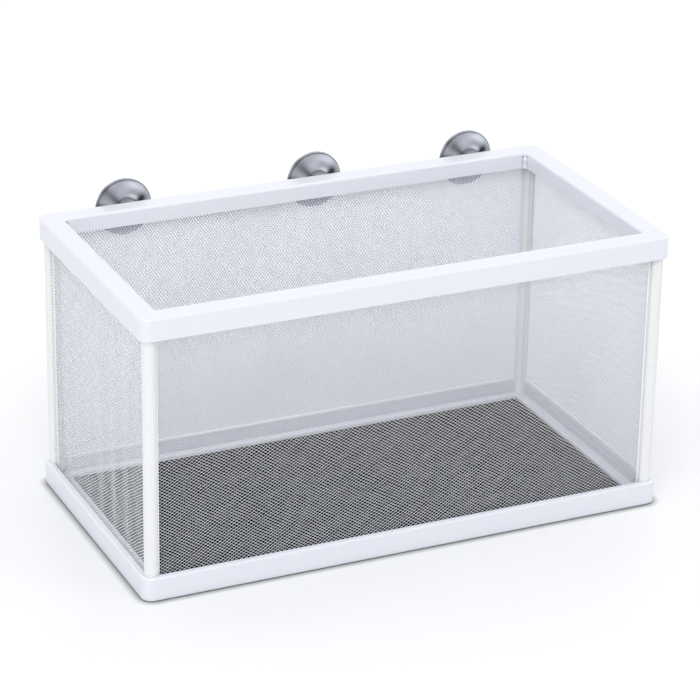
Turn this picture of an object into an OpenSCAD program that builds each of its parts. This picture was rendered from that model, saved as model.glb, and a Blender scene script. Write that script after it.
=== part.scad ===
// Net breeding box for an aquarium: a white moulded rim and base frame on four corner posts,
// fine white net walls, a dark net floor and three suction cups that hold it to the glass.
// Origin: on the surface that it stands on, under the middle of its whole outline, suction cups
// included. +X runs along the long side to the right, +Y to the back, where the suction cups are,
// and +Z up. Millimetres.

/* [Box] */
// Length of the box over the rim, left to right
box_w = 260; // [180:1:400]
// Depth of the box over the rim, front to back, without the suction cups
box_d = 136; // [100:1:220]
// Height of the box from the base to the top of the rim
box_h = 136; // [90:1:200]
// Outer radius of the upright corners of rim and base
corner_r = 5; // [4:0.5:12]

/* [Top rim] */
// Width of the rim's flat top
rim_w = 10.1; // [10:0.1:16]
// Height of the rim's outer skirt
rim_h = 10.5; // [10:0.1:20]
// Height of the rim's inner skirt, round the mouth
rim_inner_h = 7.8; // [7.8:0.1:9]
// Thickness of the rim's top
rim_top_t = 1.6; // [1.2:0.1:2]
// Thickness of the rim's outer and inner skirts
rim_skirt_t = 1.6; // [1.2:0.1:1.8]
// Rounding of the rim's top edges
rim_edge_r = 1.1; // [0.4:0.1:1.2]
// Radius of the mouth's upright corners
mouth_r = 1.5; // [0.5:0.1:4]

/* [Base frame] */
// Height of the base frame
base_h = 11.5; // [8:0.1:20]
// Thickness of the base frame's wall
base_wall = 3.2; // [2:0.1:4]
// Thickness of the ledge that carries the floor
ledge_t = 3; // [2:0.1:4]
// How far the floor's window stands in from the outer faces
floor_margin = 10.4; // [9:0.1:20]
// Rounding of the base frame's edges
base_edge_r = 0.9; // [0.3:0.1:1.2]

/* [Corner posts and sleeves] */
// Diameter of a corner post
post_d = 4.6; // [3:0.1:5]
// Bevel on a post's ends
post_bevel = 0.4; // [0.1:0.1:0.8]
// Wall of the woven sleeve on a post
sleeve_t = 0.9; // [0.8:0.05:1.1]
// Height of the sockets that stand on the ledge above its underside
socket_h = 5.2; // [4:0.1:7]
// Height of the rim's sockets for the posts
rim_socket_h = 5.6; // [3:0.1:6]
// Plastic left under a post in the base frame
socket_floor = 1.2; // [0.8:0.1:1.6]

/* [Nets] */
// Thickness of a net
net_t = 0.5; // [0.3:0.1:0.8]
// Width of a drawn strand of a side net
strand_w = 1.2; // [0.6:0.1:2]
// Width of the drawn cells of the side nets
cell_w = 30; // [20:0.5:60]
// Height of the drawn cells of the side nets
cell_h = 24; // [16:0.5:60]
// Width of a drawn strand of the denser floor net
floor_strand_w = 2.2; // [0.6:0.1:3]
// Width of the drawn cells of the floor net
floor_cell_w = 30; // [20:0.5:60]
// Depth of the drawn cells of the floor net
floor_cell_d = 13; // [10:0.5:60]
// Width of a net's selvedge
selvedge_w = 2; // [1:0.1:4]
// Thickness of the folded hem along a net's top edge
hem_t = 1.2; // [0.8:0.1:1.3]
// Height of the folded hem
hem_h = 4.5; // [2:0.1:6]
// Thickness of the floor net
floor_t = 0.6; // [0.4:0.1:1]
// Thickness of the ring that clamps the floor net
ring_t = 1.4; // [0.8:0.1:1.5]

/* [Rim pins] */
// Diameter of the ribbed pins in the rim's inner corners
pin_d = 3; // [2.4:0.1:3.4]
// Length of a pin
pin_len = 6; // [5:0.1:6]
// How far a pin's axis stands in from the rim's inner faces
pin_proud = 0.4; // [0.2:0.05:0.6]
// Width of a pin's grooves
groove_w = 0.5; // [0.3:0.1:0.8]
// Depth of a pin's grooves
groove_depth = 0.35; // [0.2:0.05:0.5]
// Plastic round a pin's hole
pin_wall = 1.3; // [0.8:0.1:1.6]

/* [Suction cups] */
// Diameter of a cup's lip
cup_d = 28; // [20:0.5:36]
// How far a cup's lip stands behind the rim's back face
cup_reach = 7.5; // [6:0.1:12]
// Height of the cups' axes below the top of the rim
cup_drop = 4.8; // [4.6:0.1:5.2]
// Distance of the left cup's axis from the left end of the rim
cup_left_inset = 45.5; // [25:0.5:60]
// Distance of the middle cup's axis from the middle of the box
cup_middle_x = 13.5; // [-20:0.5:20]
// Distance of the right cup's axis from the right end of the rim
cup_right_inset = 35; // [25:0.5:60]
// Diameter of a cup's neck where it passes through the rim
neck_d = 3.8; // [3:0.1:4]
// Diameter of the button on the neck's end, inside the rim
button_d = 5.4; // [4.8:0.1:5.6]
// Length of the button
button_len = 2; // [1.4:0.1:2.1]
// Diameter of a cup's hub
hub_d = 11; // [8:0.5:14]
// Length of a cup's hub
hub_len = 2.4; // [1.5:0.1:3]
// Wall of a cup beside its hub
cup_wall = 1.3; // [0.8:0.1:1.6]
// Width of a cup's flat lip
lip_w = 0.8; // [0.5:0.1:1.5]
// Thickness of a cup's lip at its edge
lip_t = 0.5; // [0.3:0.1:0.8]

/* [Clearances] */
// Radial clearance of posts and pins in their holes
post_fit = 0.05; // [0.02:0.01:0.1]
// Radial clearance of a cup's neck in its hole
neck_fit = 0.05; // [0.02:0.01:0.1]
// Gap between pieces that seat end to end
seat_gap = 0.1; // [0.05:0.05:0.2]
// Gap between a sleeve and the plastic beside it
sleeve_gap = 0.15; // [0.05:0.05:0.3]
// Gap between a net and the sleeve, ring or boss beside it
net_gap = 0.3; // [0.1:0.05:0.5]
// Gap between a cup and the rim's skirt on either side of it
cup_gap = 0.3; // [0.1:0.05:0.4]

/* [Hidden] */
$fn = 24;

frame_white = [0.93, 0.94, 0.97];
net_white = [0.86, 0.87, 0.91];
sleeve_white = [0.92, 0.92, 0.91];
floor_black = [0.08, 0.08, 0.11];
smoke_grey = [0.42, 0.43, 0.48];

// Steps in a rounded edge, and in the curve of a cup
edge_steps = 4;
cup_steps = 7;
// Sides of the slim pins
pin_sides = 14;
// How far a pin's two grooves lie below its top, as shares of its length
upper_groove = 0.45;
lower_groove = 0.67;
// Extra length that carries a cut past the face it opens in
past = 1;

// Corners of the box, as signs of X and Y
front_left = [-1, -1];
front_right = [1, -1];
back_left = [-1, 1];
back_right = [1, 1];
corners = [front_left, front_right, back_left, back_right];

// Posts stand a sleeve's gap inside the rim's outer skirt
post_r = post_d / 2;
hole_r = post_r + post_fit;
sleeve_r = hole_r + sleeve_t;
post_inset = rim_skirt_t + sleeve_gap + sleeve_r;
post_x = box_w / 2 - post_inset;
post_y = box_d / 2 - post_inset;

// Levels of the rim
rim_low_z = box_h - rim_h;
rim_inner_z = box_h - rim_inner_h;
rim_under_z = box_h - rim_top_t;
rim_socket_z = rim_under_z - rim_socket_h;

// Floor net on the ledge, with the clamping ring on top
ring_inset = post_inset + net_t / 2 + net_gap;
ring_z = ledge_t + floor_t;
corner_clear_r = sleeve_r + net_gap;

// Side nets run between the sleeves, from the ledge to the rim's channel
net_end_gap = seat_gap;
net_w_long = 2 * (post_x - sleeve_r - net_end_gap);
net_w_short = 2 * (post_y - sleeve_r - net_end_gap);
hem_top_z = rim_under_z - past;
net_h = hem_top_z - ledge_t;

// Pins in the rim's inner corners
pin_r = pin_d / 2;
pin_x = box_w / 2 - rim_w - pin_proud;
pin_y = box_d / 2 - rim_w - pin_proud;
pin_low_z = rim_inner_z + seat_gap;

// Suction cups
cup_left_x = cup_left_inset - box_w / 2;
cup_right_x = box_w / 2 - cup_right_inset;
cup_z = box_h - cup_drop;
cup_r = cup_d / 2;
hub_r = hub_d / 2;

// Points of an outer edge that is rounded at the top: how far it stands in, and its height
function round_top(z, r) = [
    for (i = [0:edge_steps])
        let (a = 90 * i / edge_steps) [r * (1 - cos(a)), z - r + r * sin(a)]
];

// Points of an outer edge that is rounded at the bottom
function round_bottom(z, r) = [
    for (i = [0:edge_steps])
        let (a = 90 * i / edge_steps) [r * (1 - sin(a)), z + r * (1 - cos(a))]
];

// Points of a hole's edge that flares out at the top
function flare_top(z, r) = [for (p = round_top(z, r)) [-p[0], p[1]]];

// Moves a piece from the middle of the box to the origin, which the suction cups draw back
module on_origin() {
    translate([0, -cup_reach / 2, 0])
        children();
}

// A block with a rectangular plan and round upright corners. Its side is a list of points,
// each with the distance that it stands in from the plan and its height, from low to high.
module plan_block(l, w, r, side) {
    last = len(side) - 1;
    function face(half) = concat(
        [for (p = side) [half - p[0], p[1]]],
        [for (i = [last:-1:0]) [side[i][0] - half, side[i][1]]]
    );
    turned = concat(
        [[0, side[0][1]]],
        [for (p = side) [r - p[0], p[1]]],
        [[0, side[last][1]]]
    );
    rotate([90, 0, 90])
        translate([0, 0, r - l / 2])
            linear_extrude(l - 2 * r)
                polygon(face(w / 2));
    rotate([90, 0, 0])
        translate([0, 0, r - w / 2])
            linear_extrude(w - 2 * r)
                polygon(face(l / 2));
    for (c = corners)
        translate([c[0] * (l / 2 - r), c[1] * (w / 2 - r), 0])
            rotate_extrude()
                polygon(turned);
}

// A block whose plan stands in by one distance from the box's outer faces, between two heights
module inset_block(inset, r, low, high) {
    plan_block(box_w - 2 * inset, box_d - 2 * inset, r, [[0, low], [0, high]]);
}

// Upright cylinders on the four posts' axes
module at_posts(r, low, high) {
    for (c = corners)
        translate([c[0] * post_x, c[1] * post_y, low])
            cylinder(r = r, h = high - low);
}

// Upright cylinders on the four pins' axes
module at_pins(r, low, high) {
    for (c = corners)
        translate([c[0] * pin_x, c[1] * pin_y, low])
            cylinder(r = r, h = high - low);
}

// Top rim: an upturned channel with sockets for the posts and pins, and holes for the cups
module top_rim() {
    channel_inset = rim_w - rim_skirt_t;
    mouth_side = concat([[0, rim_low_z - past]], flare_top(box_h, rim_edge_r), [[-rim_edge_r, box_h + past]]);
    color(frame_white)
        on_origin() difference() {
            union() {
                difference() {
                    plan_block(box_w, box_d, corner_r,
                        concat([[0, rim_low_z]], round_top(box_h, rim_edge_r)));
                    difference() {
                        inset_block(rim_skirt_t, corner_r - rim_skirt_t, rim_low_z - past, rim_under_z);
                        inset_block(channel_inset, mouth_r + rim_skirt_t, rim_inner_z, rim_under_z + past);
                    }
                }
                at_posts(sleeve_r, rim_socket_z, rim_under_z + rim_top_t / 2);
                at_pins(pin_r + post_fit + pin_wall, rim_inner_z, rim_under_z + rim_top_t / 2);
            }
            plan_block(box_w - 2 * rim_w, box_d - 2 * rim_w, mouth_r, mouth_side);
            at_posts(hole_r, rim_socket_z - past, rim_under_z);
            at_pins(pin_r + post_fit, rim_inner_z - past, pin_low_z + pin_len + seat_gap);
            for (x = [cup_left_x, cup_middle_x, cup_right_x])
                translate([x, box_d / 2 + past, cup_z])
                    rotate([90, 0, 0])
                        cylinder(r = neck_d / 2 + neck_fit, h = rim_skirt_t + 2 * past);
        }
}

// Base frame: a low wall on a ledge that carries the floor net, with a socket for each post
module base_frame() {
    outer_side = concat(round_bottom(0, base_edge_r), round_top(base_h, base_edge_r));
    inner_side = concat([[0, ledge_t]], flare_top(base_h, base_edge_r / 2), [[-base_edge_r / 2, base_h + past]]);
    inner_w = box_w - 2 * base_wall;
    inner_d = box_d - 2 * base_wall;
    color(frame_white)
        on_origin() difference() {
            union() {
                difference() {
                    plan_block(box_w, box_d, corner_r, outer_side);
                    plan_block(inner_w, inner_d, max(corner_r - base_wall, 1), inner_side);
                }
                at_posts(sleeve_r, ledge_t / 2, socket_h);
            }
            inset_block(floor_margin, mouth_r, -past, ledge_t + past);
            at_posts(sleeve_r + seat_gap, socket_h, base_h + past);
            at_posts(hole_r, socket_floor, socket_h + past);
        }
}

// Ring that clamps the floor net's edge to the ledge, cut clear of the posts' sockets
module floor_clamp_ring() {
    color(frame_white)
        on_origin() difference() {
            inset_block(ring_inset, 1, ring_z, ring_z + ring_t);
            inset_block(floor_margin, mouth_r, ring_z - past, ring_z + ring_t + past);
            at_posts(corner_clear_r, ring_z - past, ring_z + ring_t + past);
        }
}

// Corner post: a round rod from the base frame's socket to the rim's
module post(corner) {
    low = socket_floor + seat_gap;
    high = rim_under_z - seat_gap;
    color(frame_white)
        on_origin() translate([corner[0] * post_x, corner[1] * post_y, 0])
            rotate_extrude()
                polygon([
                    [0, low], [post_r - post_bevel, low], [post_r, low + post_bevel],
                    [post_r, high - post_bevel], [post_r - post_bevel, high], [0, high]
                ]);
}

// Woven sleeve that the nets are sewn to, slipped over a post between the two sockets
module sleeve(corner) {
    low = socket_h + seat_gap;
    high = rim_socket_z - seat_gap;
    color(sleeve_white)
        on_origin() translate([corner[0] * post_x, corner[1] * post_y, 0])
            difference() {
                translate([0, 0, low])
                    cylinder(r = sleeve_r, h = high - low);
                translate([0, 0, low - past])
                    cylinder(r = hole_r, h = high - low + 2 * past);
            }
}

// Ribbed pin in the rim's inner corner, with a round head at the top and two grooves
module rim_pin(corner) {
    high = pin_low_z + pin_len;
    neck_r = pin_r - groove_depth;
    upper = high - upper_groove * pin_len;
    lower = high - lower_groove * pin_len;
    head = [for (i = [0:edge_steps])
        let (a = 90 * i / edge_steps) [pin_r * cos(a), high - pin_r + pin_r * sin(a)]];
    color(frame_white)
        on_origin() translate([corner[0] * pin_x, corner[1] * pin_y, 0])
            rotate_extrude($fn = pin_sides)
                polygon(concat(
                    [[0, pin_low_z], [pin_r, pin_low_z]],
                    [[pin_r, lower], [neck_r, lower], [neck_r, lower + groove_w], [pin_r, lower + groove_w]],
                    [[pin_r, upper], [neck_r, upper], [neck_r, upper + groove_w], [pin_r, upper + groove_w]],
                    head
                ));
}

// A flat net with diamond gaps in two sets of rows, the second set half a cell across and up.
// Its plan is centred, w wide and h high. The cell and the strand give the pattern, and the gaps
// keep a margin at the sides, at the low edge and at the high edge, which cuts the outer ones.
module net_sheet(w, h, t, cell, strand, margins) {
    inner_w = w - 2 * margins[0];
    inner_h = h - margins[1] - margins[2];
    columns = max(2, round(inner_w / cell[0]));
    rows = max(2, round(inner_h / cell[1]));
    pitch_x = inner_w / columns;
    pitch_y = inner_h / rows;
    slant = sqrt(pitch_x * pitch_x + pitch_y * pitch_y);
    gap_x = pitch_x / 2 - strand * slant / pitch_y / 2;
    gap_y = pitch_y / 2 - strand * slant / pitch_x / 2;
    diamond = [[gap_x, 0], [0, gap_y], [-gap_x, 0], [0, -gap_y]];
    linear_extrude(t)
        difference() {
            translate([-w / 2, 0])
                square([w, h]);
            translate([-inner_w / 2, margins[1]])
                intersection() {
                    square([inner_w, inner_h]);
                    union() {
                        for (i = [0:columns - 1], j = [0:rows - 1])
                            translate([(i + 0.5) * pitch_x, (j + 0.5) * pitch_y])
                                polygon(diamond);
                        for (i = [0:columns], j = [0:rows])
                            translate([i * pitch_x, j * pitch_y])
                                polygon(diamond);
                    }
                }
        }
}

// A side net: it stands on the ledge, and its folded hem hangs in the rim's channel
module side_net(w) {
    color(net_white)
        translate([0, 0, ledge_t]) {
            rotate([90, 0, 0])
                translate([0, 0, -net_t / 2])
                    net_sheet(w, net_h, net_t, [cell_w, cell_h], strand_w,
                        [selvedge_w, socket_h - ledge_t + selvedge_w / 2, hem_top_z - rim_inner_z]);
            translate([-w / 2, -hem_t / 2, net_h - hem_h])
                cube([w, hem_t, hem_h]);
        }
}

module net_front() {
    on_origin() translate([0, -post_y, 0])
        side_net(net_w_long);
}

module net_back() {
    on_origin() translate([0, post_y, 0])
        side_net(net_w_long);
}

module net_left() {
    on_origin() translate([-post_x, 0, 0])
        rotate([0, 0, 90])
            side_net(net_w_short);
}

module net_right() {
    on_origin() translate([post_x, 0, 0])
        rotate([0, 0, 90])
            side_net(net_w_short);
}

// Dark net floor: it lies on the ledge, cut clear of the posts' sockets
module floor_net() {
    w = box_w - 2 * ring_inset;
    d = box_d - 2 * ring_inset;
    margin = floor_margin - ring_inset;
    color(floor_black)
        on_origin() difference() {
            translate([0, -d / 2, ledge_t])
                net_sheet(w, d, floor_t, [floor_cell_w, floor_cell_d], floor_strand_w,
                    [margin, margin, margin]);
            at_posts(corner_clear_r, ledge_t - past, ledge_t + floor_t + past);
        }
}

// Suction cup: lip, dome and hub behind the rim, and a neck with a button inside the rim.
// Each point has its radius and how far it stands behind the rim's back face.
module suction_cup(x) {
    button_y = -rim_skirt_t - cup_gap;
    hub_y = cup_gap + hub_len;
    neck_r = neck_d / 2;
    button_r = button_d / 2;
    bevel = button_len / 2;
    hub_bevel = hub_len / 4;
    dome = [for (i = [0:cup_steps])
        let (a = 90 * i / cup_steps)
            [hub_r + (cup_r - hub_r) * sin(a), hub_y + (cup_reach - lip_t - hub_y) * (1 - cos(a))]];
    hollow = [for (i = [cup_steps:-1:0])
        let (a = 90 * i / cup_steps)
            [(cup_r - lip_w) * sin(a), cup_reach - (cup_reach - hub_y - cup_wall) * cos(a)]];
    color(smoke_grey)
        on_origin() translate([x, box_d / 2, cup_z])
            rotate([-90, 0, 0])
                rotate_extrude()
                    polygon(concat(
                        [[0, button_y - button_len], [button_r - bevel, button_y - button_len]],
                        [[button_r, button_y - button_len + bevel], [button_r, button_y]],
                        [[neck_r, button_y], [neck_r, cup_gap], [hub_r - hub_bevel, cup_gap]],
                        [[hub_r, cup_gap + hub_bevel]],
                        dome,
                        [[cup_r, cup_reach]],
                        hollow
                    ));
}

top_rim();
base_frame();
floor_clamp_ring();
post(front_left);  // post_front_left
post(front_right);  // post_front_right
post(back_left);  // post_back_left
post(back_right);  // post_back_right
sleeve(front_left);  // sleeve_front_left
sleeve(front_right);  // sleeve_front_right
sleeve(back_left);  // sleeve_back_left
sleeve(back_right);  // sleeve_back_right
rim_pin(front_left);  // rim_pin_front_left
rim_pin(front_right);  // rim_pin_front_right
rim_pin(back_left);  // rim_pin_back_left
rim_pin(back_right);  // rim_pin_back_right
net_front();
net_back();
net_left();
net_right();
floor_net();
suction_cup(cup_left_x);  // suction_cup_left
suction_cup(cup_middle_x);  // suction_cup_middle
suction_cup(cup_right_x);  // suction_cup_right
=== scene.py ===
# %% [markdown]
# # A net breeding box for an aquarium, dressed in Blender
#
# The real object is a shallow white rim and a white base frame, held apart by four corner posts.
# A woven sleeve covers each post, and fine white nets are sewn to the sleeves. A dense black net
# is the floor, and three smoke grey suction cups behind the rim hold the box to the glass.
#
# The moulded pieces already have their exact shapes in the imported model, so this script keeps
# them and gives them a finish. Cloth is different: a knitted net or a woven sleeve is made of
# threads that a CAD solid leaves out, so those pieces are worked out here, thread by thread.

import math

import bpy
import numpy as np
from mathutils import Matrix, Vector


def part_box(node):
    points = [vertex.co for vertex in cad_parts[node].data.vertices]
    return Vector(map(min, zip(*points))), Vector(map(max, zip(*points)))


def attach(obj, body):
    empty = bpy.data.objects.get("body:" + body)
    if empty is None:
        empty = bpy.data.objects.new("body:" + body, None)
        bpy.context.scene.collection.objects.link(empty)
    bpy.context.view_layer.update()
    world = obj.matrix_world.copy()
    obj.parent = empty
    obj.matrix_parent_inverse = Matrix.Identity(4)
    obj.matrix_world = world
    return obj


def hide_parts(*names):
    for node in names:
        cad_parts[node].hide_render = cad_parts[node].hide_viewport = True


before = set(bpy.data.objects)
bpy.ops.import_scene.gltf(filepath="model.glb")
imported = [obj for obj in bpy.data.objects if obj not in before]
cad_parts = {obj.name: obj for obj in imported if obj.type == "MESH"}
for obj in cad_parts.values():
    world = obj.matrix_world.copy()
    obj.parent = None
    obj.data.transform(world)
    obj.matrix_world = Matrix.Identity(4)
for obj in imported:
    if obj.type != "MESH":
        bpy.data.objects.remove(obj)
scene = bpy.context.scene
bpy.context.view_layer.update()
MM = 0.001
print("packed nodes:", len(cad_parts))

# %% [markdown]
# ## Measures
#
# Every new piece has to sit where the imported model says. Reading the places from the packed
# nodes, instead of typing them again, keeps the looks and the solids together when a size is
# changed later. A net's node gives its plane and its outline, and a sleeve's node gives its axis.

# %% Read the places of the rim, the base and the sleeves
def middle(node):
    """The middle of a node's box: half the sum of its two corners."""
    low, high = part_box(node)
    return (low + high) / 2


CORNERS = ("front_left", "front_right", "back_left", "back_right")
sleeve_axis = {corner: middle(f"sleeve_{corner}") for corner in CORNERS}
rim_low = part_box("top_rim")[0].z
rim_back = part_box("top_rim")[1].y
base_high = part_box("base_frame")[1].z
for title, value in (("rim underside", rim_low), ("rim back", rim_back), ("base top", base_high)):
    print(f"{title} at {value / MM:.2f} mm")

# %% [markdown]
# ## The camera
#
# The photograph was taken with a long lens from the left front corner and from above. Its place
# was solved from the corners of the rim and the base. The lens is long, so the box hardly
# narrows towards the back, and a roll of under one degree levels it as the photograph does.

# %% Place the camera
SENSOR_WIDTH, FOCAL_LENGTH = 36, 155.3  # millimetres
CAMERA_PLACE = (-0.54614, -1.17904, 0.6397)
CAMERA_TURN = {"azimuth": 24.904, "elevation": 23.597, "roll": 0.985}


def view_turn(azimuth, elevation, roll=0):
    """The turn of a camera or lamp, in degrees: about Z by the azimuth, down by the elevation,
    then about its own view line by the roll, as the product of the three rotations."""
    return (
        Matrix.Rotation(math.radians(-azimuth), 4, "Z")
        @ Matrix.Rotation(math.radians(90 - elevation), 4, "X")
        @ Matrix.Rotation(math.radians(roll), 4, "Z")
    )


lens = bpy.data.cameras.new("camera")
lens.sensor_fit = "HORIZONTAL"
lens.sensor_width = SENSOR_WIDTH
lens.lens = FOCAL_LENGTH
lens.clip_start = 0.05
lens.clip_end = 50
camera = bpy.data.objects.new("camera", lens)
camera.matrix_world = Matrix.Translation(CAMERA_PLACE) @ view_turn(**CAMERA_TURN)
scene.collection.objects.link(camera)
scene.camera = camera
scene.view_settings.view_transform = "Standard"
print("focal length", FOCAL_LENGTH, "mm")

# %% [markdown]
# ## Shader maths as Python expressions
#
# A procedural finish is a small formula, such as a groove's darkness times a colour. Wiring Math
# nodes by hand hides the formula. A class that wraps a socket and answers to plus, minus and
# times lets the formula be read as one line, and each operator adds the node that it needs.

# %% Wrap sockets so that an expression builds its nodes
class Value:
    """One output socket. An operator on it adds a Math node with that operation."""

    def __init__(self, nodes, socket):
        self.nodes = nodes
        self.socket = socket

    def maths(self, operation, *others):
        """A Math node of one operation on this value and the others, in that order."""
        sockets = dict(enumerate((self, *others)))
        return self.nodes.node("ShaderNodeMath", {"operation": operation}, sockets)

    def __add__(self, other):
        return self.maths("ADD", other)

    __radd__ = __add__

    def __mul__(self, other):
        return self.maths("MULTIPLY", other)

    __rmul__ = __mul__

    def __sub__(self, other):
        return self.maths("SUBTRACT", other)

    def __rsub__(self, other):
        sockets = {0: other, 1: self}
        return self.nodes.node("ShaderNodeMath", {"operation": "SUBTRACT"}, sockets)


print("socket wrapper is ready")

# %% [markdown]
# A material and the world are both trees of nodes, so one class can add nodes to either. A
# finish is a material's tree with a Principled shader at its end, and the few nodes that most
# finishes need, such as noise and a mix of two colours, get methods of their own.

# %% Node trees and finishes
class Nodes:
    """The node tree of a material or of the world."""

    def __init__(self, owner):
        owner.use_nodes = True
        self.tree = owner.node_tree

    def put(self, node, sockets):
        """Gives a node's sockets their numbers, colours or links."""
        for key, value in sockets.items():
            if isinstance(value, Value):
                self.tree.links.new(value.socket, node.inputs[key])
            else:
                node.inputs[key].default_value = value

    def node(self, kind, settings=None, sockets=None, out=0):
        """Any node: its settings first, then its sockets. It answers with one output."""
        node = self.tree.nodes.new(kind)
        for key, value in (settings or {}).items():
            setattr(node, key, value)
        self.put(node, sockets or {})
        return Value(self, node.outputs[out])

    def is_ray(self, kind):
        """1 for rays of one kind, such as Camera or Glossy, and 0 for all others."""
        return self.node("ShaderNodeLightPath", out=f"Is {kind} Ray")


class Finish(Nodes):
    """A material with a Principled shader."""

    def __init__(self, name):
        self.material = bpy.data.materials.new(name)
        super().__init__(self.material)
        self.shader = self.tree.nodes["Principled BSDF"]

    def set(self, **sockets):
        """Values of the Principled shader, with underscores for the blanks in their names."""
        self.put(self.shader, {key.replace("_", " "): value for key, value in sockets.items()})

    def place(self):
        """Object coordinates, which lie still on a piece whose object sits at the origin."""
        return self.node("ShaderNodeTexCoord", out="Object")

    def noise(self, scale, detail=2.0):
        """Cloudy noise between 0 and 1, with scale given in clouds per metre."""
        sockets = {"Vector": self.place(), "Scale": scale, "Detail": detail}
        return self.node("ShaderNodeTexNoise", sockets=sockets)

    def stored(self, name):
        """The number that a mesh keeps at each point under a name."""
        return self.node("ShaderNodeAttribute", {"attribute_name": name}, out="Fac")

    def mix(self, share, first, second):
        """A colour between two colours: all of the first at share 0, all of the second at 1."""
        sockets = {0: share, 6: (*first, 1), 7: (*second, 1)}
        return self.node("ShaderNodeMix", {"data_type": "RGBA"}, sockets, out=2)

    def bump(self, height, distance, strength=1.0):
        """A bumped normal from a height between 0 and 1, with its full depth in metres."""
        sockets = {"Height": height, "Distance": distance, "Strength": strength}
        self.set(Normal=self.node("ShaderNodeBump", sockets=sockets))


print("shader helpers are ready")

# %% [markdown]
# ## The light
#
# The photograph is a studio shot on white. Real studios light a white object from a broad soft
# source and keep the backdrop separate. Here the sky does the first, a little below full
# strength, and rays that are seen directly, mirrored or through the cups meet a plain white
# backdrop. One broad lamp above the camera's side makes the rim's top brighter than its sides,
# one fills in from each side, and a small high one draws a soft light along the edges.

# %% Hang the lamps and the sky
LAMPS = {  # the place, the point that the lamp looks at, its side in metres and its power
    "high lamp": ((-0.72, -1.15, 1.32), (0, 0, 0.1), 1.0, 8.8),
    "left lamp": ((-1.6, -0.5, 0.9), (0, 0, 0.06), 1.0, 2.2),
    "right lamp": ((1.6, 0.15, 0.95), (0, 0, 0.1), 0.5, 3.3),
    "edge lamp": ((0.75, -0.88, 1.63), (0, 0, 0.1), 0.25, 0.9),
}
WHITE = (1, 1, 1, 1)
SKY, SKY_STRENGTH = (0.97, 0.985, 1, 1), 0.92


def lamp(name, place, aim, side, power):
    """A square area lamp at one point, turned so that its face looks at another."""
    data = bpy.data.lights.new(name, "AREA")
    data.shape = "SQUARE"
    data.size = side
    data.energy = power
    light = bpy.data.objects.new(name, data)
    scene.collection.objects.link(light)
    way = np.array(aim) - np.array(place)
    azimuth = math.degrees(math.atan2(way[0], way[1]))
    elevation = math.degrees(math.atan2(-way[2], math.hypot(way[0], way[1])))
    light.matrix_world = Matrix.Translation(place) @ view_turn(azimuth, elevation)


for name, values in LAMPS.items():
    lamp(name, *values)

scene.world = bpy.data.worlds.new("studio")
studio = Nodes(scene.world)
seen = studio.is_ray("Camera").maths("MAXIMUM", studio.is_ray("Glossy"))
seen = seen.maths("MAXIMUM", studio.is_ray("Transmission"))
sky = studio.tree.nodes["Background"]
studio.put(sky, {"Color": SKY, "Strength": SKY_STRENGTH})
backdrop = studio.node("ShaderNodeBackground", sockets={"Color": WHITE, "Strength": 1})
shaders = {0: seen, 1: Value(studio, sky.outputs[0]), 2: backdrop}
either = studio.node("ShaderNodeMixShader", sockets=shaders)
studio.put(studio.tree.nodes["World Output"], {"Surface": either})
print("lamps:", len(LAMPS))

# %% [markdown]
# ## The floor under the box
#
# A plain white plane catches the soft shadow. White paper under a lamp would still render a
# little grey, so it glows faintly to the camera, more with the distance, and fades into the
# backdrop. Where the box touches it, the light can't get in: Ambient Occlusion finds those few
# millimetres and makes the paper dark there, which draws the thin line under the base frame.

# %% Lay the floor
PAPER, CONTACT = (0.82, 0.82, 0.825), (0.02, 0.02, 0.022)
CONTACT_REACH = 4 * MM
GLOW_NEAR, GLOW_FAR = 0.06, 0.22
FADE_START, FADE_END = 0.12, 0.4  # metres from the middle of the box


def stage_floor(side, segments):
    """A flat square plane under the object: the points of a grid at height 0."""
    steps = np.linspace(-side / 2, side / 2, segments + 1)
    x, y = np.meshgrid(steps, steps)
    points = np.stack([x, y, np.zeros_like(x)], -1).reshape(-1, 3)
    r, c = np.meshgrid(np.arange(segments), np.arange(segments), indexing="ij")
    first = r * (segments + 1) + c
    corners = [first, first + 1, first + segments + 2, first + segments + 1]
    mesh = bpy.data.meshes.new("studio_floor")
    mesh.from_pydata(points.tolist(), [], np.stack(corners, -1).reshape(-1, 4).tolist())
    plane = bpy.data.objects.new("studio_floor", mesh)
    scene.collection.objects.link(plane)
    return plane


floor = stage_floor(side=24, segments=8)
paper = Finish("studio_paper")
away = paper.node("ShaderNodeVectorMath", {"operation": "LENGTH"}, {0: paper.place()}, "Value")
fade = {"Value": away, "From Min": FADE_START, "From Max": FADE_END}
far = paper.node("ShaderNodeMapRange", {"interpolation_type": "SMOOTHSTEP"}, fade)
near = {"Distance": CONTACT_REACH}
open_sky = paper.node("ShaderNodeAmbientOcclusion", {"samples": 16}, near, "AO")
clear = open_sky.maths("POWER", 1.4)
paper.set(Base_Color=paper.mix(clear, CONTACT, PAPER), Roughness=0.35, Specular_IOR_Level=0.25)
glow = paper.is_ray("Camera") * clear * (GLOW_NEAR + (GLOW_FAR - GLOW_NEAR) * far)
paper.set(Emission_Color=WHITE, Emission_Strength=glow)
floor.data.materials.append(paper.material)
print("stage is ready")

# %% [markdown]
# ## Moulded white plastic
#
# The rim, the base frame, the clamping ring, the posts and the ribbed pins are injection
# moulded. Their white is slightly blue and has a satin gloss. A faint cloudiness in the gloss
# and a shallow ripple in the surface keep the long flat rails from looking like paper.

# %% Give the moulded nodes their finish
plastic = Finish("white_plastic")
clouds = plastic.noise(22)
grain = plastic.noise(1400, 3)
plastic.set(Base_Color=plastic.mix(clouds, (0.76, 0.778, 0.842), (0.787, 0.805, 0.865)))
plastic.set(Roughness=0.25 + 0.1 * clouds + 0.05 * grain, IOR=1.49)
plastic.set(Coat_Weight=0.5, Coat_Roughness=0.16)
plastic.bump(grain + 2 * clouds, 0.02 * MM, 0.4)

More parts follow.
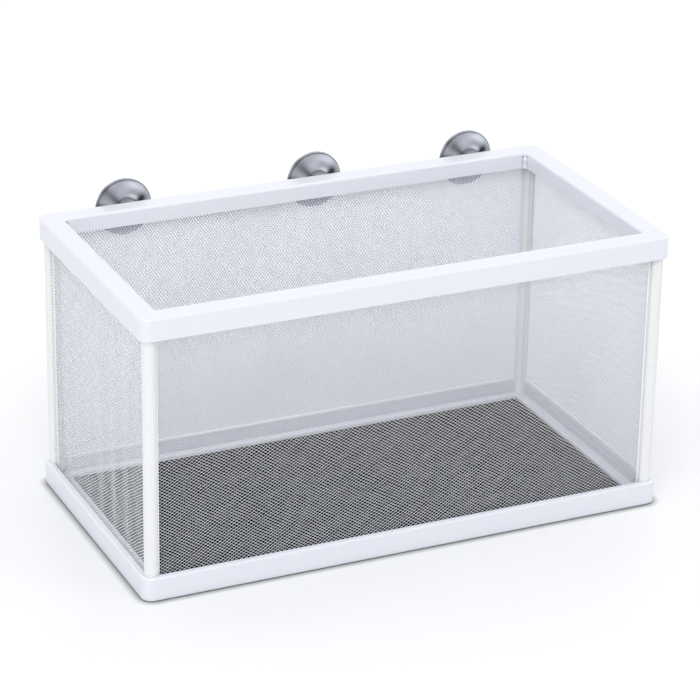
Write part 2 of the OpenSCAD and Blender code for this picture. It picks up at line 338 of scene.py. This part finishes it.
MOULDED = ["top_rim", "base_frame", "floor_clamp_ring"]
MOULDED += [f"{kind}_{corner}" for kind in ("post", "rim_pin") for corner in CORNERS]
for node in MOULDED:
    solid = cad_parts[node]
    solid.data.materials.clear()
    solid.data.materials.append(plastic.material)
print("moulded pieces:", len(MOULDED))

# %% [markdown]
# ## From arrays to a mesh
#
# Each new piece is worked out as arrays of points and faces. One helper writes them into a mesh.
# A face that looks inwards would be shaded wrongly, and the sign of the volume inside the faces
# tells: it comes out negative where they look inwards, and then they are turned round.

# %% Turn faces outwards and write arrays into a mesh
def signed_volume(points, faces):
    """The volume inside the faces: a sixth of the sum of the triple products of each fan
    triangle's corners. It is negative where the faces look inwards."""
    points = points - points.mean(0)
    total = 0.0
    for group in faces:
        corners = points[group]
        for k in range(1, group.shape[1] - 1):
            normals = np.cross(corners[:, k], corners[:, k + 1])
            total += np.einsum("ij,ij->i", corners[:, 0], normals).sum()
    return total / 6


def outwards(points, faces):
    """Points and faces, with the faces turned round where the volume inside is negative."""
    if signed_volume(points, faces) < 0:
        faces = [group[:, ::-1] for group in faces]
    return points, faces


def mesh_piece(name, points, faces, finish):
    """A smooth object at the origin from points in metres and from arrays of faces."""
    points, faces = outwards(points, faces)
    sizes = np.concatenate([np.full(len(group), group.shape[1]) for group in faces])
    corners = np.concatenate([group.ravel() for group in faces])
    mesh = bpy.data.meshes.new(name)
    mesh.vertices.add(len(points))
    mesh.vertices.foreach_set("co", points.ravel())
    mesh.loops.add(len(corners))
    mesh.loops.foreach_set("vertex_index", corners)
    mesh.polygons.add(len(sizes))
    mesh.polygons.foreach_set("loop_start", np.cumsum(sizes) - sizes)
    mesh.update(calc_edges=True)
    mesh.polygons.foreach_set("use_smooth", np.ones(len(sizes), bool))
    mesh.materials.append(finish.material)
    piece = bpy.data.objects.new(name, mesh)
    scene.collection.objects.link(piece)
    cubic_mm = signed_volume(points, faces) / MM**3
    print(f"{name}: {int((sizes - 2).sum())} triangles, {cubic_mm:.1f} mm3")
    return piece


def keep_numbers(piece, name, numbers):
    """Stores one number for each point of a piece, which its finish reads under that name."""
    piece.data.attributes.new(name, "FLOAT", "POINT").data.foreach_set("value", numbers)


print("mesh writer is ready")

# %% [markdown]
# Most surfaces here are grids: one direction goes round, the other goes along. Quads between
# neighbours join the grid's points, and several such surfaces can share one mesh once the faces
# of the later ones are renumbered.

# %% Faces of a grid, and several surfaces in one
def grid_faces(rows, columns, rows_close=False):
    """Quads between neighbours of a grid whose columns close into a ring, and whose rows may."""
    bands = rows if rows_close else rows - 1
    r, c = np.meshgrid(np.arange(bands), np.arange(columns), indexing="ij")
    above, beside = (r + 1) % rows, (c + 1) % columns
    near, far_away = r * columns, above * columns
    corners = [near + c, near + beside, far_away + beside, far_away + c]
    return np.stack(corners, -1).reshape(-1, 4)


def joined(*parts):
    """Several pairs of points and faces as one pair, with the later faces renumbered."""
    points, faces, count = [], [], 0
    for part_points, part_faces in parts:
        points.append(part_points)
        faces += [group + count for group in part_faces]
        count += len(part_points)
    return np.concatenate(points), faces


print("a ring of 3 by 4 points has", len(grid_faces(3, 4)), "quads")

# %% [markdown]
# ## The nets, thread by thread
#
# A breeding box has a warp-knitted net: two sets of slanting threads that meet in small knots
# and leave gaps a little wider than high. It could be one sheet with a see-through pattern, but
# the pattern would blur in an exported texture, and its edge on would be bare. Real threads
# stay sharp, so each thread is a slim tube across the whole panel and each knot a small bead.
#
# The gaps of the front and left nets were counted in the photograph. The back and right nets
# show a finer grain there, and the floor is nearly closed.

# %% Sizes of the knit
# A cell is the width and the height of a gap, from thread to thread.
CELL = (2.32 * MM, 1.56 * MM)
UPRIGHT_CELL = (1.46 * MM, 2.1 * MM)  # for the back net
SMALL_CELL = (1.7 * MM, 1.2 * MM)  # for the right net
FLOOR_CELL = (2.2 * MM, 1.44 * MM)
LAYER = 0.06 * MM  # how far one set of threads lies outside a panel's middle, and one inside
KNOT = (0.28 * MM, 0.2 * MM, 0.18 * MM)  # half sizes across, up and out
STITCH_HALF = (0.7 * MM, 0.24 * MM, 0.4 * MM)  # the same of a stitch
STITCH = 1.35 * MM  # pitch of the stitches, and of the yarns in a sleeve
for cell in (CELL, UPRIGHT_CELL, SMALL_CELL, FLOOR_CELL):
    gaps = round(200 * MM**2 / (cell[0] * cell[1]))
    print(f"{cell[0] / MM:.2f} x {cell[1] / MM:.2f} mm: {gaps} gaps per square centimetre")

# %% [markdown]
# A hand-sewn panel is never quite flat, and its threads wander. One function gives every point
# of a panel its small shifts, so threads and knots that meet stay together. It adds sines of
# unlike wavelengths, which never line up, and fades them out at the edges, which are sewn down.
# The left net shows upright folds in the photograph, so folds can be asked for.

# %% How a panel departs from its plane
FOLD_PITCH = 17.5 * MM


def edge_hold(u, v, width, height):
    """1 in the middle of a panel and 0 on its edges, which are sewn down: the product of one
    less the eighth power of each centred coordinate."""
    return (1 - (2 * u / width) ** 8).clip(0) * (1 - (2 * v / height - 1) ** 8).clip(0)


def slack(u, v, size, folds):
    """How a panel departs from its plane: a sum of long waves, and upright folds whose height
    and side shift vary along the panel. It answers with the shifts across, up and out. The
    factors of u and v are the waves' turns in radians per metre."""
    hold = edge_hold(u, v, *size)
    wander = np.sin(u * 420 + 2.1 * np.sin(v * 190 + 0.6)) * np.sin(v * 370 + 1.7 * np.sin(u * 160))
    waver = np.sin(v * 440 + 1.9 * np.sin(u * 210 + 2.0)) * np.sin(u * 340 + 1.3 * np.sin(v * 250))
    out = np.sin(u * 61 + 1.3) * np.cos(v * 43 + 0.7) + 0.6 * np.sin(u * 23 - v * 31)
    drift = np.sin(v * 71 + 3 * np.sin(u * 19)) + 0.7 * np.sin(u * 103 + v * 57)
    rows = np.sin(u * 47 + 0.4) + 0.5 * np.cos(u * 131 - v * 29)
    fold = np.sin(u * 2 * np.pi / FOLD_PITCH + 1.1 * np.sin(v * 24)) * np.sin(u * 37 + 0.9)
    return (
        hold * MM * (0.45 * drift + 0.24 * wander) + 0.35 * folds * hold * fold,
        hold * MM * (0.3 * rows + 0.2 * waver),
        hold * 0.22 * MM * out + folds * hold * fold,
    )


panel = (240 * MM, 130 * MM)
u, v = np.meshgrid(np.linspace(-0.5, 0.5, 99) * panel[0], np.linspace(0, 1, 99) * panel[1])
shifts = [np.abs(shift).max() / MM for shift in slack(u, v, panel, folds=0)]
print("largest shifts across, up and out:", np.round(shifts, 2), "mm")

# %% [markdown]
# A thread could be a curve with a round bevel, but hundreds of curves are slow, and a net needs
# thousands of rings. So all the threads of one set are worked out together: each is a straight
# line in the panel's plane, cut where it leaves the panel, with a ring of four points at every
# step. Four sides are enough, because smooth shading rounds them.

# %% One set of parallel threads
def threads(size, cell, lean, wide, deep, layer, folds=0.0, step=4 * MM):
    """Lines v = lean * slope * u + c, where the slope is a cell's height over its width and the
    values of c are a cell's height apart. Each is a tube of four sides, as wide across the
    panel and as deep through it as given, with a ring at every step."""
    width, height = size
    tilt = lean * cell[1] / cell[0]
    reach = abs(tilt) * width / 2
    c = np.arange(math.floor(-reach / cell[1]), math.ceil((height + reach) / cell[1]) + 1) * cell[1]
    crossings = np.sort(np.stack([-c / tilt, (height - c) / tilt]), axis=0)
    start = np.maximum(-width / 2, crossings[0])
    end = np.minimum(width / 2, crossings[1])
    keep = end - start > cell[0] / 2
    c, start, end = c[keep], start[keep], end[keep]
    counts = np.ceil((end - start) / step).astype(int) + 1
    firsts = np.cumsum(counts) - counts
    owner = np.repeat(np.arange(len(c)), counts)
    place = np.arange(counts.sum()) - firsts[owner]
    u = start[owner] + (end - start)[owner] * place / (counts[owner] - 1)
    v = tilt * u + c[owner]
    du, dv, out = slack(u, v, size, folds)
    centre = np.stack([u + du, v + dv, out + layer], -1)
    slant = math.hypot(1, tilt)
    across = np.array([-tilt / slant, 1 / slant, 0]) * wide / 2
    outward = np.array([0, 0, deep / 2])
    points = (centre[:, None] + np.stack([across, outward, -across, -outward])).reshape(-1, 3)
    ring = np.arange(4)
    beside = (ring + 1) % 4
    near = 4 * np.flatnonzero(owner[:-1] == owner[1:])[:, None]
    sides = np.stack([near + ring, near + beside, near + 4 + beside, near + 4 + ring], -1)
    heads = 4 * firsts[:, None] + ring
    tails = 4 * (firsts + counts - 1)[:, None] + ring[::-1]
    return points, [sides.reshape(-1, 4)[:, ::-1], heads, tails]


print("a slanting thread rises", round(math.degrees(math.atan(CELL[1] / CELL[0]))), "degrees")

# %% [markdown]
# A knot is seen as a bright grain about the size of a pixel. Ten thousand of them need a very
# cheap form: a bead of four faces, made of two edges that cross at a distance. The stitches up
# the side edges are the same bead, only longer. The cords along the edges are seen closer and
# are fewer, so they get a rounder section.

# %% Knots, stitches and cords
def beads(centres, half):
    """Small four-sided beads: at each centre, one edge across on the inner side and one edge up
    on the outer side, each as long as its two half sizes."""
    a, b, c = half
    tips = np.array([[a, 0, -c], [-a, 0, -c], [0, b, c], [0, -b, c]])
    points = (centres[:, None] + tips).reshape(-1, 3)
    four = np.array([[0, 1, 3], [1, 0, 2], [2, 3, 1], [3, 2, 0]])
    return points, [(4 * np.arange(len(centres))[:, None, None] + four).reshape(-1, 3)]


def knots(size, cell, folds, low, high):
    """A bead on each crossing: u = a * half a cell's width and v = b * half its height, where a
    and b are both odd or both even, between two heights of the panel."""
    a = np.arange(math.ceil(-size[0] / cell[0]) + 1, math.floor(size[0] / cell[0]))
    b = np.arange(math.ceil(2 * low / cell[1]), math.floor(2 * high / cell[1]) + 1)
    a, b = (grid.ravel() for grid in np.meshgrid(a, b))
    even = (a + b) % 2 == 0
    u, v = a[even] * cell[0] / 2, b[even] * cell[1] / 2
    du, dv, out = slack(u, v, size, folds)
    return beads(np.stack([u + du, v + dv, out], -1), KNOT)


def stitches(size, low, high):
    """Slim stitches in a row up each side edge of a panel, a stitch pitch apart."""
    v = np.arange(low, high, STITCH)
    both = [np.stack([np.full_like(v, side * size[0] / 2), v, 0 * v], -1) for side in (-1, 1)]
    return beads(np.concatenate(both), STITCH_HALF)


def band(centre, half, along, segments=48, sides=12):
    """A flat cord along one side of a panel: a superellipse of power 4 carried on a straight
    line, across the panel (along 0) or up it (along 1), with round ends."""
    t = np.linspace(-1, 1, segments)
    swell = (1 - np.abs(t) ** 24).clip(0) ** 0.5
    swell[[0, -1]] = 0.2
    turn = np.linspace(0, 2 * np.pi, sides, endpoint=False)
    shape = np.stack([np.sign(f(turn)) * np.abs(f(turn)) ** 0.5 for f in (np.cos, np.sin)], -1)
    shape = swell[:, None, None] * shape
    points = np.zeros((segments, sides, 3)) + np.array(centre)
    points[..., along] += t[:, None] * half[along]
    points[..., 1 - along] += shape[..., 0] * half[1 - along]
    points[..., 2] += shape[..., 1] * half[2]
    ring = np.arange(sides)[None]
    caps = [ring[:, ::-1], (segments - 1) * sides + ring]
    return points.reshape(-1, 3), [grid_faces(segments, sides), *caps]


print("a knot is", round(2 * KNOT[0] / MM, 2), "mm across; stitches are", STITCH / MM, "mm apart")

# %% [markdown]
# The thread is fine nylon, with soft patches and a grain of fibres in it. In the photograph the
# front and left nets show bright threads, and the back and right nets read as a soft grey veil.
# The real cloth is probably the same on all sides. One white would still miss the photograph, so
# there are two finishes: a bright one, and a darker copy of it for the back and the right, whose
# darker colour is painted shade.

# %% A bright nylon and a darker copy with painted shade
FIBRES = 2600  # per metre


def nylon(name, low_colour, high_colour, ior):
    """Soft nylon between two colours, with patches and fibres in it."""
    finish = Finish(name)
    fibre = finish.noise(FIBRES)
    share = 0.6 * fibre + 0.4 * finish.noise(60)
    finish.set(Base_Color=finish.mix(share, low_colour, high_colour))
    finish.set(Roughness=0.4 + 0.2 * fibre, IOR=ior)
    finish.bump(fibre, 0.03 * MM, 0.5)
    return finish


bright = nylon("bright_nylon_thread", (0.93, 0.95, 1), (0.97, 0.985, 1), 2.0)
# Painted shade: the same nylon, darker, for the back and right nets.
shaded_nylon = nylon("painted_shade_nylon_thread", (0.83, 0.86, 0.95), (0.9, 0.92, 0.99), 1.5)
print("thread finishes:", bright.material.name, "and", shaded_nylon.material.name)

# %% [markdown]
# Threads, knots and edge cords are worked out in a panel's own plane, so the same code makes
# every panel. A panel then stands in its place: one side of its plane runs across, one up, and
# what departs from the plane goes along the product of the two, which points out of the box.
#
# A net's top hem hangs in the rim's channel. At the foot of the back and right nets the
# photograph shows a pale, smooth line on the base frame's edge, so those two have a welt there.

# %% Build one net and put it in its place
FOOT_CORD = (0.9 * MM, 0.24 * MM)  # half its height and half its depth, as in the next two
EDGE_CORD = (0.3 * MM, 0.25 * MM)
HEM = (2.25 * MM, 0.6 * MM)
WELT_DEPTH = 0.4 * MM  # half of it
WELT_SINK = 0.3 * MM  # how far a welt reaches below the base frame's top edge
KNOTS_FROM, STITCHES_FROM = 1 * MM, 3.6 * MM  # heights above a panel's foot
PAST_RIM = 1.2 * MM  # how far knots and stitches go on above the rim's underside


def stand(points, origin, across, up):
    """A panel's points in the room: origin + u * across + v * up + out * (across x up)."""
    axes = np.stack([across, up, np.cross(across, up)])
    return np.array(origin) + points @ axes


def side_net(name, node, across, finish, cell, knit, folds=0.0, step=4 * MM, welt=0.0):
    """A side net in the place of its node: both sets of threads, the knots between the base and
    the rim, cords up both side edges and along the foot, and the stitches. The knit is the
    widths of the two sets of threads and then their depths, and welt is half a welt's height."""
    low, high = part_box(node)
    size = ((high - low)[0 if across[0] else 1], high.z - low.z)
    top = rim_low - low.z + PAST_RIM
    widths, depths = knit
    parts = [
        threads(size, cell, 1, widths[0], depths[0], LAYER, folds, step),
        threads(size, cell, -1, widths[1], depths[1], -LAYER, folds, step),
        knots(size, cell, folds, KNOTS_FROM, top),
        band((0, FOOT_CORD[0], 0), (size[0] / 2, *FOOT_CORD), 0),
        stitches(size, STITCHES_FROM, top),
    ]
    for side in (-1, 1):
        edge = (side * (size[0] / 2 - EDGE_CORD[0]), size[1] / 2, 0)
        parts.append(band(edge, (EDGE_CORD[0], size[1] / 2, EDGE_CORD[1]), 1))
    tapes = [band((0, size[1] - HEM[0], 0), (size[0] / 2, *HEM), 0)]
    if welt:
        welt_middle = base_high - low.z - WELT_SINK + welt
        tapes.append(band((0, welt_middle, 0), (size[0] / 2, welt, WELT_DEPTH), 0))
    origin = np.array(middle(node))
    origin[2] = low.z
    for title, shapes, look in ((name, parts, finish), (f"{name}_hem", tapes, bright)):
        points, faces = joined(*(outwards(*shape) for shape in shapes))
        piece = mesh_piece(title, stand(points, origin, across, (0, 0, 1)), faces, look)
        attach(piece, "box")
        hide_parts(node)


print("a hem is", 2 * HEM[0] / MM, "mm high")

# %% [markdown]
# ## The four side nets
#
# The nets are stretched nearly flat. The left one shows upright folds in the photograph, so its
# panel has them, and the right one has hardly any. The threads of one net are flattened, some
# across it and some through it, because the tone of each net follows from how much of its plane
# the threads cover when it is seen at a slant.

# %% Make the four side nets
# Each knit has the widths of its two sets of threads, and then their depths.
OPEN = ((0.15 * MM, 0.14 * MM), (0.22 * MM, 0.5 * MM))
OPEN_LEFT = ((0.26 * MM, 0.22 * MM), (0.44 * MM, 0.14 * MM))
DENSE = ((0.61 * MM, 0.65 * MM), (0.14 * MM, 0.14 * MM))
DENSE_RIGHT = ((0.42 * MM, 0.46 * MM), (0.14 * MM, 0.14 * MM))
side_net("front_net", "net_front", (1, 0, 0), bright, CELL, OPEN)
side_net("left_net", "net_left", (0, -1, 0), bright, CELL, OPEN_LEFT, folds=0.35 * MM)
side_net(
    "back_net", "net_back", (-1, 0, 0), shaded_nylon, UPRIGHT_CELL, DENSE, step=3 * MM, welt=0.9 * MM
)
side_net(
    "right_net", "net_right", (0, 1, 0), shaded_nylon, SMALL_CELL, DENSE_RIGHT, 0.15 * MM, welt=1.5 * MM
)

# %% [markdown]
# ## The dark floor
#
# The floor is a black net of the same knit but of thicker thread, so that little light comes
# through and it reads as nearly black. It lies on the base frame's ledge, and the ring on top
# of it clamps its edge, which is why its edge needs no finish of its own.

# %% Make the floor net
TUCK = 2.25 * MM  # how far the cloth's edge stays inside the edge of its node

black = Finish("black_nylon_thread")
fibre = black.noise(FIBRES)
black.set(Base_Color=black.mix(fibre, (0.003, 0.0034, 0.009), (0.012, 0.0135, 0.027)))
black.set(Roughness=0.6 + 0.2 * fibre, Specular_IOR_Level=0.02)
black.bump(fibre, 0.03 * MM, 0.5)

low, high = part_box("floor_net")
floor_size = (high.x - low.x - 2 * TUCK, high.y - low.y - 2 * TUCK)
parts = [
    threads(floor_size, FLOOR_CELL, 1, wide=1.16 * MM, deep=0.3 * MM, layer=-LAYER, step=12 * MM),
    threads(floor_size, FLOOR_CELL, -1, wide=0.6 * MM, deep=0.3 * MM, layer=2 * LAYER, step=8 * MM),
]
points, faces = joined(*(outwards(*part) for part in parts))
origin = ((low.x + high.x) / 2, low.y + TUCK, (low.z + high.z) / 2)
floor_points = stand(points, origin, (1, 0, 0), (0, 1, 0))
floor_cloth = mesh_piece("floor_cloth", floor_points, faces, black)
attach(floor_cloth, "box")
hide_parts("floor_net")

# %% [markdown]
# ## The woven sleeves
#
# A fabric sleeve covers each post. Up close its yarns lie in narrow upright columns, slanting
# one way in one column and the other way in the next, like a herringbone. A bump map could draw
# that, but the sleeve's outline would stay a plain tube, so the yarns are in the mesh: the
# radius rises and falls with the distance to the nearest groove. A needle has left a row of
# small holes wherever a net is sewn on. How deep a point lies is kept in an attribute, and the
# finish paints shade into the grooves and holes with it.

# %% The surface of a sleeve
COLUMNS = 8
SIDES = 64
ROWS_PER_YARN = 6
INNER_ROWS = 12
WALL = 0.9 * MM
YARN_RISE = 0.9  # yarn pitches that a yarn climbs across its column
SEAM_WIDTH, SEAM_DIP = 0.11, 0.35  # between two columns, as shares of a column and of a yarn
YARN_RELIEF, HOLE_DEPTH, END_DROP = 0.2 * MM, 0.45 * MM, 0.25 * MM
HOLE_WIDE, HOLE_HIGH, END_REACH = 0.42 * MM, 0.36 * MM, 0.35 * MM


def sleeve_surface(height, radius, bore, holes):
    """A tube's outer face, its inner face and its two ends as one grid that closes both ways.
    The outer radius is the full radius less the yarn relief, where a yarn's height is the
    absolute sine of pi times (height / pitch + the column's zigzag), and less a round pit at
    each needle hole. The last array is for the finish and says how deep each point lies: 1 on
    top of a yarn, 0.6 in a groove and less in a hole. The finish paints shade from it."""
    rows = int(round(height / STITCH * ROWS_PER_YARN))
    z = np.linspace(0, height, rows)[:, None]
    turn = np.linspace(0, 2 * np.pi, SIDES, endpoint=False)[None]
    column = turn / (2 * np.pi) * COLUMNS + 0.5
    zigzag = np.abs(column % 2 - 1)
    yarn = np.abs(np.sin(np.pi * (z / STITCH + YARN_RISE * zigzag)))
    seam = np.exp(-((((column + 0.5) % 1 - 0.5) / SEAM_WIDTH) ** 2))
    ridge = yarn**0.7 * (1 - SEAM_DIP * seam)
    pit = 0 * ridge
    for hole in holes:
        away = ((turn - hole + np.pi) % (2 * np.pi) - np.pi) * radius
        up = ((z / STITCH + 0.5) % 1 - 0.5) * STITCH
        pit = np.maximum(pit, np.exp(-((away / HOLE_WIDE) ** 2) - (up / HOLE_HIGH) ** 2))
    ends = np.exp(-z / END_REACH) + np.exp(-(height - z) / END_REACH)
    outer = radius - YARN_RELIEF * (1 - ridge) - HOLE_DEPTH * pit - END_DROP * ends
    inner = np.full((INNER_ROWS, SIDES), bore + 0.01 * MM)
    r = np.concatenate([outer, inner])
    heights = np.concatenate([z, np.linspace(height, 0, INNER_ROWS)[:, None]]) + 0 * turn
    points = np.stack([r * np.cos(turn), r * np.sin(turn), heights], -1)
    # The depth share, from which the finish paints shade into the grooves and holes.
    depth = np.concatenate([(0.6 + 0.4 * ridge) * (1 - 1.6 * pit), 0 * inner + 0.8])
    return points.reshape(-1, 3), grid_faces(len(r), SIDES, rows_close=True), depth.ravel()


print("a sleeve has", COLUMNS, "columns of yarn")

# %% [markdown]
# Two nets meet at each sleeve. The short side's net leaves two rows of needle holes, one on
# each side of its line, and the long side's net leaves one row, on the side that is seen from
# outside the box. The finish needs no drawing of its own, because the stored depth already says
# where a groove or a hole is: the deeper the surface lies, the darker the painted shade.

# %% Make the four sleeves
ROW_TURN = 0.27  # radians from a net's line to a row of needle holes
SHADE = 0.65  # how far a stored depth of 0 goes towards the darker colour

weave = Finish("white_herringbone")
fuzz = weave.noise(3200)
# Painted shade: the cloth darkens towards a groove's bottom and into the needle holes.
painted_groove_shade = 1 - SHADE * (1 - weave.stored("depth"))
weave.set(Base_Color=weave.mix(painted_groove_shade, (0.56, 0.555, 0.55), (0.84, 0.84, 0.845)))
weave.set(Roughness=0.75 + 0.15 * fuzz, Sheen_Weight=0.15, Sheen_Roughness=0.4)
weave.bump(fuzz, 0.04 * MM, 0.5)

for corner in CORNERS:
    low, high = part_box(f"sleeve_{corner}")
    to_side_net = math.pi / 2 if "front" in corner else -math.pi / 2
    to_long_net = 0 if "left" in corner else math.pi
    outer_row = ROW_TURN if ("front" in corner) == ("right" in corner) else -ROW_TURN
    holes = (to_side_net - ROW_TURN, to_side_net + ROW_TURN, to_long_net + outer_row)
    height, radius = high.z - low.z, (high.x - low.x) / 2
    points, quads, depth = sleeve_surface(height, radius, radius - WALL, holes)
    foot = np.array([sleeve_axis[corner].x, sleeve_axis[corner].y, low.z])
    sleeve = mesh_piece(f"woven_sleeve_{corner}", points + foot, [quads], weave)
    keep_numbers(sleeve, "depth", depth)
    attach(sleeve, "box")
    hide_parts(f"sleeve_{corner}")

# %% [markdown]
# ## The suction cups
#
# A suction cup is one piece of soft smoke grey vinyl: a shallow dome with a thin lip, a hub, and
# a neck with a button that is pressed through a hole in the rim. Clear vinyl bends what is seen
# through it, so it is a transmissive material with a grey tint, and it needs a closed solid with
# both its faces. The profile is turned about the neck's axis, as the mould for it would be.

# %% The section of a cup
HUB, LIP, HOLLOW = 5.5, 14.0, 13.2  # radii in millimetres
HUB_END, DOME_END, LIP_END, HOLLOW_END = 2.7, 7.0, 7.5, 4.0  # millimetres behind the rim


def rounded(profile, radius, steps):
    """A closed profile with its corners rounded: each corner becomes a curve from a point on
    one side to a point on the next, (1-t)^2 A + 2t(1-t) B + t^2 C, where B is the corner."""
    def towards(neighbours):
        reach = radius / np.linalg.norm(neighbours - profile, axis=1)
        return (profile + (neighbours - profile) * np.minimum(reach, 0.5)[:, None])[:, None]

    a, b, c = towards(np.roll(profile, 1, 0)), profile[:, None], towards(np.roll(profile, -1, 0))
    t = np.linspace(0, 1, steps)[None, :, None]
    return ((1 - t) ** 2 * a + 2 * t * (1 - t) * b + t**2 * c).reshape(-1, 2)


def cup_profile():
    """Points of half a cup's section, each with its radius and its distance behind the rim's
    back face, in millimetres: button, neck, hub, quarter ellipse of the dome, lip, and back
    along the hollow's quarter ellipse to the axis."""
    turn = np.linspace(0, np.pi / 2, 28)
    button = [[0.02, -3.9], [1.7, -3.9], [2.7, -2.9], [2.7, -1.9], [1.9, -1.9]]
    neck_and_hub = [[1.9, 0.3], [HUB, 0.3], [HUB, 1.5], [HUB - 0.4, 1.9], [HUB, 2.3]]
    dome_height = HUB_END + (DOME_END - HUB_END) * (1 - np.cos(turn))
    dome = np.stack([HUB + (LIP - HUB) * np.sin(turn), dome_height], -1)
    hollow_height = LIP_END - (LIP_END - HOLLOW_END) * np.cos(turn)
    hollow = np.stack([HOLLOW * np.sin(turn), hollow_height], -1)[::-1]
    lip, on_axis = [[LIP, LIP_END]], [[0.02, HOLLOW_END]]
    return np.concatenate([button, neck_and_hub, dome, lip, hollow[:-1], on_axis]) * MM


profile = rounded(cup_profile(), radius=0.25 * MM, steps=4)
print("a cup is", round(2 * profile[:, 0].max() / MM, 1), "mm across")

# %% [markdown]
# The photograph shows dark and light streaks on the cups, from the hub to the lip, a dark line
# beside the lip and another one round the hub. They are reflections and shade, and the studio
# around the photograph isn't known, so they are painted into the vinyl's colour: the light streaks
# are painted highlights, the dark ones painted reflections of dark things, and the two dark lines
# painted shade. Each is a soft hill at an angle and at a share of the cup's radius, and the sum
# is kept as the painted reflection of each point.

# %% Painted highlights, reflections and shade on the vinyl
ALL = math.inf
EVEN_VINYL_TONE = 0.47
# Painted highlights have positive strengths. The negative ones are painted dark reflections and
# painted shade.
PAINTED_STREAKS = (  # strength, then angle and width in degrees, then share of the radius and width
    (0.5, 63, 25, 0.84, 0.11),
    (0.55, 58, 24, 0.48, 0.08),
    (0.15, 100, 20, 0.65, 0.2),
    (0.15, 156, 9, 0.62, 0.12),
    (0.2, 0, ALL, 1, 0.02),
    (-0.32, 135, 12, 0, ALL),
    (-0.7, 30, 12, 0.58, 0.2),
    (-0.45, 172, 8, 0, ALL),
)
# Painted shade: a dark ring beside the lip and another round the hub.
PAINTED_DARK_RINGS = ((0.85, 0.968, 0.015), (0.8, 0.405, 0.02))  # strength, share of the radius, width


def hill(value, place, width):
    """A bell curve of a value: e to the minus square of its distance over the width."""
    return np.exp(-(((value - place) / width) ** 2))


def painted_reflection_at(reach, angle):
    """The painted tone of the vinyl at a share of the cup's radius and at an angle from its right
    side: an even tone plus the painted streaks, times one less each painted dark ring of shade."""
    # clear is the painted tone: painted highlights and reflections added, then dark rings of
    # painted shade taken away.
    clear = EVEN_VINYL_TONE + 0 * reach
    for strength, at, wide, out, deep in PAINTED_STREAKS:
        clear = clear + strength * hill(angle, at, wide) * hill(reach, out, deep)
    clear = clear.clip(0, 1)
    for strength, out, deep in PAINTED_DARK_RINGS:
        clear = clear * (1 - strength * hill(reach, out, deep))
    return clear


def turned(profile, centre, sides=96):
    """A closed profile of radius and distance, turned about a line along Y through a point:
    x and z are the radius times the cosine and the sine of the turn. The last array is the
    painted reflection and shade of each point."""
    turn = np.linspace(0, 2 * np.pi, sides, endpoint=False)
    r, y = profile[:, 0, None], profile[:, 1, None]
    points = np.stack([r * np.cos(turn), y + 0 * turn, r * np.sin(turn)], -1) + np.array(centre)
    painted_reflection = painted_reflection_at(r / r.max() + 0 * turn, np.degrees(turn) + 0 * r)
    return points.reshape(-1, 3), grid_faces(len(r), sides, rows_close=True), painted_reflection.ravel()


print("streaks on a cup:", len(PAINTED_STREAKS))

# %% [markdown]
# The vinyl is made like tinted glass with little transmission, because the cup behind the rail
# looks solid from the front. Its colour runs from nearly black to a pale blue grey with the
# painted reflections and shade, and a thin coat gives it the wet gloss of soft vinyl.

# %% Make the three suction cups
vinyl = Finish("smoke_grey_vinyl")
haze = vinyl.noise(130)
# Painted highlights, reflections and shade from the mesh, with a little smoky haze on top.
reflections_and_haze = vinyl.stored("painted_reflection") * (0.8 + 0.4 * haze)
vinyl.set(Base_Color=vinyl.mix(reflections_and_haze, (0.008, 0.01, 0.02), (0.8, 0.83, 0.93)))
vinyl.set(Roughness=0.05 + 0.06 * haze, IOR=1.45, Transmission_Weight=0.3)
vinyl.set(Coat_Weight=0.25, Coat_Roughness=0.04)

for place in ("left", "middle", "right"):
    node = f"suction_cup_{place}"
    centre = middle(node)
    points, quads, painted_reflection = turned(profile, (centre.x, rim_back, centre.z))
    cup = mesh_piece(f"vinyl_cup_{place}", points, [quads], vinyl)
    keep_numbers(cup, "painted_reflection", painted_reflection)
    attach(cup, f"cup_{place}")
    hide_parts(node)
